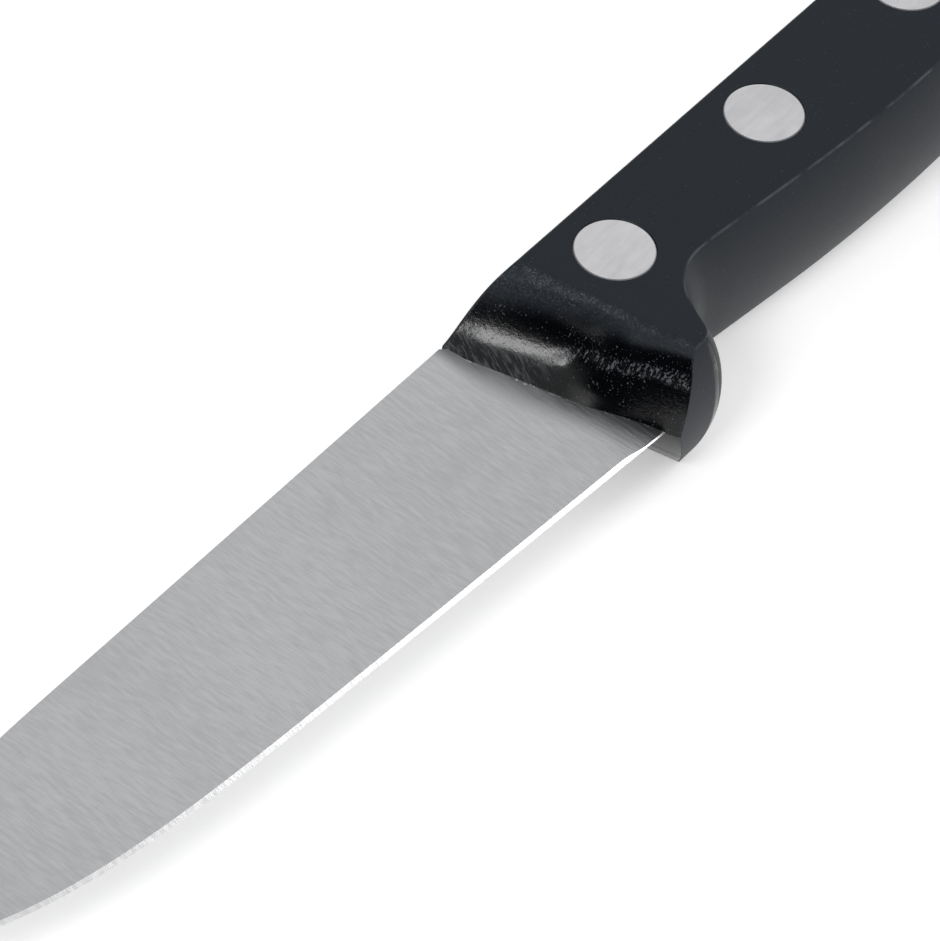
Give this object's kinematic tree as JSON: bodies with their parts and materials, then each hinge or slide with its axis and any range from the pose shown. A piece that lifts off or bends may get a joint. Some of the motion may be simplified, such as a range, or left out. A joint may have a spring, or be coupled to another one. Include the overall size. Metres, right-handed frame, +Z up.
{
  "type": "paring knife",
  "caption": "Fixed-blade paring knife with a full flat ground steel blade, a finger guard and black plastic scales held by flush round rivets.",
  "frame": {"origin": "middle of the knife's box, on the face that it lies on", "axes": "+X from the blade's tip towards the butt, +Y from the cutting edge up to the spine, +Z up through the handle from the far scale to the near scale"},
  "size_m": [0.192, 0.0234, 0.016],
  "materials": {
    "blade_steel": "satin ground stainless steel with a bright cutting bevel",
    "handle_plastic": "satin black moulded plastic",
    "rivet_metal": "flat satin ground metal"
  },
  "bodies": {
    "root": {"blade": "blade_steel", "near_scale": "handle_plastic", "far_scale": "handle_plastic", "front_rivet_socket": "rivet_metal", "middle_rivet_socket": "rivet_metal", "rear_rivet_socket": "rivet_metal", "front_rivet_pin": "rivet_metal", "middle_rivet_pin": "rivet_metal", "rear_rivet_pin": "rivet_metal"}
  },
  "joints": []
}
